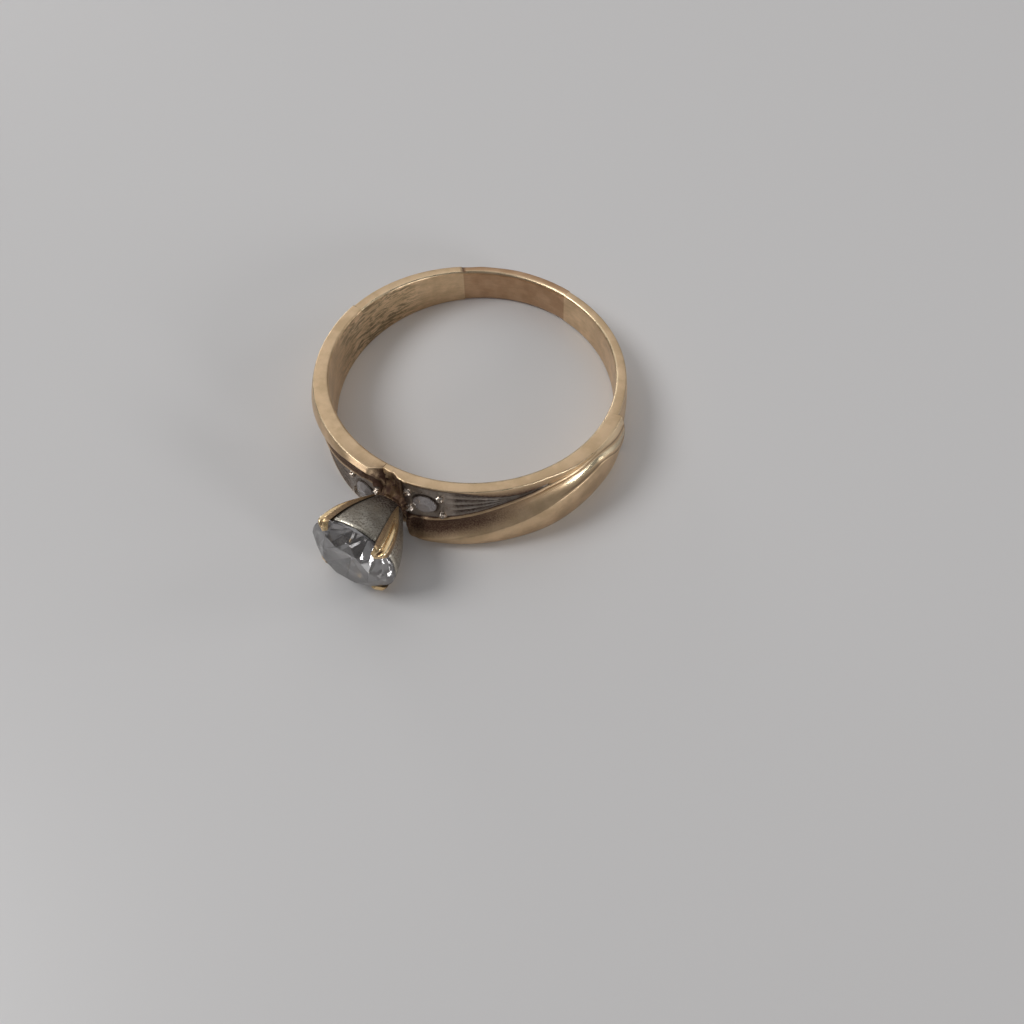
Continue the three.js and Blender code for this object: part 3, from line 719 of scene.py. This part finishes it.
def shoulder_shape(side):
    """A shoulder on the right, cut off at the leaning joint under the head."""
    bm = band_arc(lambda degrees: shoulder_corners(degrees, side), -HEAD_OVERRUN, SHOULDER_END,
                  SHOULDER_STEP, shoulder_dirt_and_painted_light)
    lean = math.radians(HEAD_JOINT_TILT)
    normal = Vector((math.cos(lean), 0, math.sin(lean)))
    bmesh.ops.bisect_plane(bm, geom=[*bm.verts, *bm.edges, *bm.faces], plane_co=normal * CLEARANCE / 2,
                           plane_no=normal, clear_inner=True)
    bmesh.ops.holes_fill(bm, edges=[e for e in bm.edges if e.is_boundary], sides=0)
    bmesh.ops.recalc_face_normals(bm, faces=bm.faces)
    for vert in bm.verts:
        outside = smoothstep(vert.co.xy.length, *SOLDER_OUTSIDE)
        near = 1 - smoothstep(vert.co.xz.length, *SOLDER_REACH)
        lump = sum(noise.noise(vert.co * count) * height for count, height in SOLDER_LUMPS)
        vert.co.y -= outside * near * max(lump, SOLDER_LEAST)
    return bm


def shank_dirt_and_painted_light(outer, degrees, point):
    """A shadow line behind the right shoulder, and dirt in the notch at the insert's left end."""
    # Painted shadow where the shank runs out from under the right shoulder's end.
    shadow = 0.8 * (1 - smoothstep(degrees - SHOULDER_END, 0, 1.5)) * (outer >= 4)
    notch = 0.9 * (1 - smoothstep(abs(degrees - INSERT_END), 0.3, 1.1)) * (-2 <= outer < 8)
    # Rubbed edges: wear together with a painted highlight.
    if outer in RUBBED_HIGHLIT_EDGES and max(shadow, notch) < 0.1:
        return EDGE_WEAR_AND_HIGHLIGHT
    return max(SIDE_FACE_DIRT * (0 <= outer < 5), shadow, notch)


def turn_over(bm):
    bmesh.ops.rotate(bm, cent=(0, 0, 0), matrix=Matrix.Rotation(math.pi, 3, "Y"), verts=bm.verts)


def shoulder_piece(side, flip):
    bm = shoulder_shape(side)
    if flip:
        turn_over(bm)
    return piece(f"shoulder_{side}_fine", bm, YELLOW, [f"shoulder_{side}"])


def shank_piece(name, start, end, finish, edge=BORE_ROUNDING):
    bm = band_arc(shank_corners, start, end, SHANK_STEP, shank_dirt_and_painted_light, edge)
    return piece(f"{name}_fine", bm, finish, [name])


# ---- White plates, beads and side stones ----

def add_beads(bm):
    """Four rough beads raised from the plate, at the corners of a rectangle round the side stone."""
    radius = top_radius(SIDE_STONE_ANGLE)
    turn = math.degrees(BEAD_SPREAD_ROUND / radius)
    for k, (round_way, across_way) in enumerate(((1, 1), (-1, 1), (-1, -1), (1, -1))):
        degrees = SIDE_STONE_ANGLE + round_way * turn
        centre = polar(radius + BEAD_RISE, degrees, SIDE_STONE_OFFSET + across_way * BEAD_SPREAD_ACROSS)
        bead = bmesh.ops.create_icosphere(bm, subdivisions=3, radius=BEAD_RADIUS)["verts"]
        for vert in bead:
            lump = 1 + noise.noise(vert.co * 7 + Vector((k * 3, 0, 0))) * BEAD_LUMPINESS
            vert.co = centre + vert.co * lump


def plate_piece(side, flip):
    """A plate with grooves fanning to its point, cut away round the side stone, and its beads."""
    steps = 150
    across = 40
    angles = [lerp(PLATE_START, PLATE_END, k / steps) for k in range(steps + 1)]

    def stone_distance(degrees, z):
        along = math.radians(degrees - SIDE_STONE_ANGLE) * top_radius(degrees)
        return math.hypot(along, z - SIDE_STONE_OFFSET)

    def groove(t, degrees):
        rays = 1 - (0.5 + 0.5 * math.cos(math.tau * PLATE_RAYS * t)) ** 2
        return rays * smoothstep(degrees, *RAYS_GROW) * (1 - smoothstep(degrees, RAYS_FADE_START, PLATE_END))

    def place(i, k):
        degrees = angles[k]
        low, high = plate_edges(degrees)
        top = top_radius(degrees)
        index = i % (across + 3)
        if index > across:
            underside = top - PLATE_THICKNESS + 2 * PLATE_FIT
            return polar(underside, degrees, high if index == across + 1 else low)
        t = index / across
        z = lerp(low, high, t)
        away = stone_distance(degrees, z)
        dish = (1 - smoothstep(away, SIDE_STONE_RADIUS + 0.02, SIDE_STONE_RADIUS + 0.22)) * SEAT_DISH
        rough = noise.noise(Vector((degrees * 0.5, z * 3, 0.3))) * PLATE_ROUGHNESS
        return polar(top - RAY_DEPTH * groove(t, degrees) - dish + rough, degrees, z)

    def dirt_and_painted_light(i, k):
        degrees = angles[k]
        low, high = plate_edges(degrees)
        t = min((i % (across + 3)) / across, 1)
        away = stone_distance(degrees, lerp(low, high, t))
        near_stone = 1 - smoothstep(away, SIDE_STONE_RADIUS, SIDE_STONE_RADIUS + 0.35)
        near_head = 1 - smoothstep(degrees, PLATE_START, 9)
        at_edge = 1 - smoothstep(min(t, 1 - t), 0, 0.08)
        return max(groove(t, degrees) * 0.95, near_stone * 0.8, near_head, at_edge * 0.7, 0.6 * flip, 0.28)

    bm = net(across + 3, steps, place, dirt_and_painted_light=dirt_and_painted_light)
    add_beads(bm)
    if flip:
        turn_over(bm)
    return piece(f"plate_{side}_fine", bm, WHITE, [f"plate_{side}"])


def brilliant(radius, table, girdle, crown, pavilion):
    """A round brilliant, its facets ground one by one from a rod; the girdle's underside is at 0."""
    crown, pavilion = math.radians(crown), math.radians(pavilion)
    top = girdle + (radius - table) * math.tan(crown)
    depth = radius * math.tan(pavilion)
    bm = bmesh.new()
    bm.verts.layers.float.new("dirt_and_painted_light")
    bmesh.ops.create_cone(bm, cap_ends=True, segments=96, radius1=radius, radius2=radius, depth=top + depth,
                          matrix=Matrix.Translation((0, 0, (top - depth) / 2)))

    def grind(degrees, slope, reach, height, up=1):
        angle = math.radians(degrees)
        outward = Vector((math.cos(angle), math.sin(angle), 0))
        normal = outward * math.sin(slope) + Vector((0, 0, up * math.cos(slope)))
        bmesh.ops.bisect_plane(bm, geom=[*bm.verts, *bm.edges, *bm.faces], dist=1e-6,
                               plane_co=outward * reach + Vector((0, 0, height)), plane_no=normal,
                               clear_outer=True)
        bmesh.ops.holes_fill(bm, edges=[e for e in bm.edges if e.is_boundary], sides=0)

    eighth = 45
    star_slope = crown * STAR_SLOPE
    star_foot = table * math.cos(math.radians(eighth / 2))
    star_tip = star_foot + (radius - star_foot) * 0.5
    star_height = top - (star_tip - star_foot) * math.tan(star_slope)
    half_reach = star_tip * math.cos(math.radians(eighth / 4))
    half_slope = math.atan((star_height - girdle) / (radius - half_reach))
    for k in range(8):
        main = k * eighth
        grind(main, crown, radius, girdle)
        grind(main + eighth / 2, star_slope, star_foot, top)
        grind(main, pavilion, radius, 0, up=-1)
        for turn in (-eighth / 4, eighth / 4):
            grind(main + turn, half_slope, radius, girdle)
            grind(main + turn, pavilion + math.radians(LOWER_HALF_STEEPER), radius, 0, up=-1)
    bmesh.ops.recalc_face_normals(bm, faces=bm.faces)
    layer = bm.verts.layers.float["dirt_and_painted_light"]
    for vert in bm.verts:
        vert[layer] = min(max(-vert.co.z / depth, 0), 1)
    return bm


def side_stone_piece(side, flip):
    table = SIDE_STONE_RADIUS * SIDE_TABLE_RATIO
    bm = brilliant(SIDE_STONE_RADIUS, table, SIDE_GIRDLE, CROWN_ANGLE, PAVILION_ANGLE)
    bmesh.ops.transform(bm, matrix=HEAD, verts=bm.verts)
    bmesh.ops.translate(bm, vec=(0, -(top_radius(SIDE_STONE_ANGLE) + SIDE_STONE_SET), SIDE_STONE_OFFSET),
                        verts=bm.verts)
    bmesh.ops.rotate(bm, cent=(0, 0, 0), matrix=Matrix.Rotation(math.radians(SIDE_STONE_ANGLE), 3, "Z"),
                     verts=bm.verts)
    if flip:
        turn_over(bm)
    return piece(f"side_stone_{side}_fine", bm, SMALL_DIAMOND, [f"side_stone_{side}"],
                 sharp=FACET_EDGE)


# ---- Head: shapes are spun about Z with heights from the ring's centre, then laid along the head ----

CUP_RIM_RADIUS = STONE_RADIUS - CUP_SETBACK
CUP_FOOT = SADDLE_RADIUS + BASE_HEIGHT + CLEARANCE
CUP_RIM = GIRDLE_BASE - CLEARANCE - (CUP_SETBACK + CUP_WALL) * math.tan(math.radians(PAVILION_ANGLE))
BOWL_PULLS = ((0, 0), (0.43, 0.33), (0.9, 0.68), (1, 1))  # how far the bowl has opened and risen
BOWL = [(lerp(CUP_FOOT_RADIUS, CUP_RIM_RADIUS, opened), lerp(CUP_FOOT, CUP_RIM, risen))
        for opened, risen in BOWL_PULLS]
CUP_CORE = 0.2                   # the bowl's hollow narrows to this radius
LIP_TOP = GIRDLE_BASE - 0.1
LIP_OUTSIDE = ((0.05, CUP_RIM + 0.02), (0.07, CUP_RIM + 0.07), (0.06, LIP_TOP - 0.05), (0.02, LIP_TOP))


def bowl_offset(t, distance):
    """A point of the bowl's outer wall, moved out of it by a distance."""
    slope = (bezier(BOWL, min(t + 0.01, 1)) - bezier(BOWL, max(t - 0.01, 0))).normalized()
    return bezier(BOWL, t) + Vector((slope.y, -slope.x)) * distance


def cup_piece():
    """The hollow bowl under the stone, with a thin lip that reaches up to the girdle."""
    steps = 24
    outside = [bezier(BOWL, k / steps) for k in range(steps + 1)]
    lip = [(CUP_RIM_RADIUS + outwards, height) for outwards, height in LIP_OUTSIDE]
    rim_inside = (CUP_RIM_RADIUS - CUP_WALL, CUP_RIM)
    inside = [bowl_offset(1 - k / steps, -CUP_WALL) for k in range(1, steps + 1)]
    inside = [(max(p.x, CUP_CORE), max(p.y, CUP_FOOT + CUP_WALL)) for p in inside]
    profile = [(0, CUP_FOOT), *outside, *lip, rim_inside, *inside, (0, CUP_FOOT + CUP_WALL)]

    def dirt_and_painted_light(point):
        # Painted shade, heavier towards the bowl's foot; the lip is kept clear of it.
        shaded = lerp(0.85, 0.3, smoothstep(point.z, CUP_FOOT, CUP_FOOT + 1.6))
        on_lip = point.z > CUP_RIM + 0.01
        return shaded - 0.9 * on_lip

    bm = turned(spun(profile, 128, dirt_and_painted_light), HEAD)
    return piece("head_cup_fine", bm, CUP_WHITE, ["head_cup"])


# The peg as (radius, height above the saddle): a foot spread with solder, a waist and a collar.
BASE_OUTLINE = ((0, -0.05), (1.5, -0.05), (1.45, 0.03), (1.15, 0.13), (BASE_RADIUS, 0.25), (BASE_WAIST, 0.5),
                (BASE_WAIST + 0.03, 0.62), (BASE_RADIUS, 0.76), (BASE_RADIUS - 0.02, BASE_HEIGHT),
                (0, BASE_HEIGHT))


def base_piece():
    """The peg under the cup, rough with solder."""
    bm = spun([(radius, SADDLE_RADIUS + height) for radius, height in BASE_OUTLINE], 64)
    bmesh.ops.subdivide_edges(bm, edges=bm.edges, cuts=1, use_grid_fill=True)
    layer = bm.verts.layers.float["dirt_and_painted_light"]
    for vert in bm.verts:
        push = noise.noise(vert.co * 2.2) * 0.16 + noise.noise(vert.co * 7) * 0.07
        vert[layer] = 0.65 + noise.noise(vert.co * 4) * 0.9
        vert.co += Vector((vert.co.x, vert.co.y, 0)).normalized() * push
    return piece("head_base_fine", turned(bm, HEAD), SOLDER, ["head_base"])


def centre_stone_piece():
    bm = brilliant(STONE_RADIUS, TABLE_RADIUS, GIRDLE_THICKNESS, CROWN_ANGLE, PAVILION_ANGLE)
    bmesh.ops.rotate(bm, cent=(0, 0, 0), matrix=Matrix.Rotation(math.radians(STONE_TURN), 3, "Z"),
                     verts=bm.verts)
    bmesh.ops.translate(bm, vec=(0, 0, GIRDLE_BASE), verts=bm.verts)
    return piece("centre_stone_fine", turned(bm, HEAD), DIAMOND, ["centre_stone"],
                 sharp=FACET_EDGE)


# A claw's inner line up the bowl, past the girdle and in over the crown, as (radius, height).
CLAW_ON_BOWL = (0.06, 0.3, 0.55, 0.8)
CLAW_GROOVE_DEPTH = 0.85         # share of the claw's thickness
CLAW_GROOVE_WIDTH = 0.26         # share of its half width
CLAW_LINE = tuple(tuple(bowl_offset(t, CLEARANCE)) for t in CLAW_ON_BOWL) + (
    (STONE_RADIUS + 0.035, GIRDLE_BASE - 0.12),
    (STONE_RADIUS + 0.045, GIRDLE_BASE + 0.13),
    (STONE_RADIUS - 0.09, GIRDLE_BASE + 0.27),
    (STONE_RADIUS - CLAW_GRIP - 0.1, GIRDLE_BASE + 0.44),
)
# Half widths and thicknesses at the same places, each beside its place's number.
CLAW_WIDTHS = ((0, 0.07), (1, 0.3), (2, 0.46), (3, 0.55), (4, 0.56), (5, 0.5), (6, 0.4), (7, 0.24))
CLAW_DEPTHS = ((0, 0.05), (1, 0.1), (2, 0.16), (3, 0.2), (4, 0.22), (5, 0.22), (6, 0.2), (7, 0.14))


def claw_piece(corner, degrees):
    """A leaf with a groove down its middle, polished along both crests, which carry a painted highlight, with
    painted shade on its flanks and in the hollow of its fold.
    """
    across, along = 30, 70

    def claw_section(s):
        here = spline(CLAW_LINE, s)
        ahead = spline(CLAW_LINE, min(s + 0.01, 1))
        behind = spline(CLAW_LINE, max(s - 0.01, 0))
        slope = (ahead - behind).normalized()
        out = Vector((slope.y, -slope.x))
        half = spline(CLAW_WIDTHS, s).y
        depth = spline(CLAW_DEPTHS, s).y
        groove = CLAW_GROOVE_DEPTH * smoothstep(s, 0.12, 0.4) * (1 - smoothstep(s, 0.84, 0.95))
        points = []
        for i in range(across + 1):
            t = 2 * i / across - 1
            hollow = groove * math.exp(-(t / CLAW_GROOVE_WIDTH) ** 2)
            crest = (1 - abs(t) ** 1.7) * (1 + 0.25 * groove) * (1 - hollow)
            points.append((here + out * (0.02 + depth * crest), t * half))
        return [*points, (here, half * 0.9), (here, -half * 0.9)]

    sections = [claw_section(k / along) for k in range(along + 1)]
    count = len(sections[0])

    def place(i, k):
        point, side = sections[k][i % count]
        return Vector((point.x, side, point.y))

    def dirt_and_painted_light(i, k):
        s = k / along
        t = 2 * min(i % count, across) / across - 1
        # Painted shade in the fold's hollow and on the flanks, darker at the foot, and a painted highlight
        # along the crests.
        hollow = math.exp(-(t / 0.22) ** 2) * smoothstep(s, 0.55, 0.75) * (1 - smoothstep(s, 0.86, 0.93))
        flank = smoothstep(abs(t), 0.42, 0.62) * (1 - smoothstep(s, 0.66, 0.82))
        crest = math.exp(-((abs(t) - 0.34) / 0.1) ** 2) * smoothstep(s, 0.25, 0.5)
        darkening = max(0.7 * (1 - smoothstep(s, 0.05, 0.3)), 0.95 * hollow, 0.78 * flank)
        return darkening - crest * 0.8

    bm = net(count, along, place, dirt_and_painted_light=dirt_and_painted_light)
    bmesh.ops.rotate(bm, cent=(0, 0, 0), matrix=Matrix.Rotation(math.radians(degrees), 3, "Z"),
                     verts=bm.verts)
    return piece(f"claw_{corner}_fine", turned(bm, HEAD), POLISHED, [f"claw_{corner}"],
                 sharp=50)


# ---- Floor, light and camera ----

CAMERA_AZIMUTH = 32.84
CAMERA_ELEVATION = 50.47
CAMERA_DISTANCE = 79.9
CAMERA_ROLL = 3.754
SENSOR = 36                      # millimetres, as is the lens
LENS = 45.703125
HOLE_OFF_CENTRE = (-0.02941, 0.09479)  # slopes of the line of sight to the hole's centre
FLOOR_RADIUS = 3                 # metres
FLOOR_GAP = 0.02
DAYLIGHT = (0.97, 0.98, 1.0)
LAMP_WHITE = (1, 1, 1)
ROOM_STRENGTH = 0.16

# Azimuth and elevation in degrees, distance and size in metres, power in watts.
LAMPS = (
    ("ceiling", 213, 55, 0.7, 0.9, 1.05, LAMP_WHITE),
    ("key", 300, 50, 0.6, 0.3, 1.4, LAMP_WHITE),
    ("window_right", 76, 15, 0.5, 0.12, 0.5, DAYLIGHT),
    ("window_back", 126, 22, 0.6, 0.2, 0.35, LAMP_WHITE),
    ("window_left", 240, 14, 0.6, 0.2, 0.3, LAMP_WHITE),
)


def towards(azimuth, elevation):
    """The direction from the ring to something seen at these angles."""
    azimuth, elevation = math.radians(azimuth), math.radians(elevation)
    return Vector((math.sin(azimuth) * math.cos(elevation),
                   -math.cos(azimuth) * math.cos(elevation), math.sin(elevation)))


def make_camera():
    azimuth = math.radians(CAMERA_AZIMUTH)
    back = towards(CAMERA_AZIMUTH, CAMERA_ELEVATION)
    right = Vector((math.cos(azimuth), math.sin(azimuth), 0))
    aimed = Matrix((right, back.cross(right), back))
    rolled = Matrix.Rotation(math.radians(CAMERA_ROLL), 3, "Z") @ aimed
    direction = Vector((*HOLE_OFF_CENTRE, -1)).normalized()
    shifted = Vector((0, 0, -1)).rotation_difference(direction).to_matrix() @ rolled
    data = bpy.data.cameras.new("camera")
    data.sensor_width = SENSOR
    data.lens = LENS
    data.clip_start = 0.005
    data.clip_end = 20
    camera = bpy.data.objects.new("camera", data)
    camera.matrix_world = Matrix.Translation(back * CAMERA_DISTANCE * MM) @ shifted.transposed().to_4x4()
    bpy.context.scene.collection.objects.link(camera)
    bpy.context.scene.camera = camera


def make_floor():
    """The ring lies on its lower side faces, which are one plane, so the floor is that plane."""
    bm = bmesh.new()
    bmesh.ops.create_circle(bm, cap_ends=True, segments=96, radius=FLOOR_RADIUS)
    tilt = Matrix.Rotation(math.atan(TAPER), 4, "X")
    lowered = Matrix.Translation((0, 0, -(MID_HALF_WIDTH + FLOOR_GAP) * MM))
    bmesh.ops.transform(bm, matrix=lowered @ tilt, verts=bm.verts)
    mesh = bpy.data.meshes.new("floor")
    bm.to_mesh(mesh)
    bm.free()
    finish = Finish("floor", Base_Color=colour(0.70, 0.685, 0.68), Roughness=0.35)
    mesh.materials.append(finish.material)
    floor = bpy.data.objects.new("floor", mesh)
    bpy.context.scene.collection.objects.link(floor)


def soft_light(name, azimuth, elevation, distance, size, power, tint):
    data = bpy.data.lights.new(name, "AREA")
    data.shape = "DISK"
    data.size = size
    data.energy = power
    data.color = tint
    lamp = bpy.data.objects.new(name, data)
    away = towards(azimuth, elevation)
    lamp.location = away * distance
    lamp.rotation_euler = away.to_track_quat("Z", "Y").to_euler()
    bpy.context.scene.collection.objects.link(lamp)


def make_light():
    world = bpy.data.worlds.new("room")
    bpy.context.scene.world = world
    world.use_nodes = True
    background = world.node_tree.nodes["Background"]
    background.inputs["Color"].default_value = colour(*DAYLIGHT)
    background.inputs["Strength"].default_value = ROOM_STRENGTH
    for lamp in LAMPS:
        soft_light(*lamp)
    bpy.context.scene.view_settings.view_transform = "Standard"


make_camera()
make_floor()
make_light()

for side, flip in (("right", False), ("left", True)):
    shoulder_piece(side, flip)
    plate_piece(side, flip)
    side_stone_piece(side, flip)

base_piece()
cup_piece()
centre_stone_piece()
for corner, degrees in CLAW_ANGLES.items():
    claw_piece(corner, degrees)

shank_piece("shank_right", SHOULDER_END, INSERT_START, YELLOW)
shank_piece("sizing_insert", INSERT_START, INSERT_END, ROSE, INSERT_BORE_ROUNDING)
shank_piece("shank_left", INSERT_END, 360 - SHOULDER_END, YELLOW)
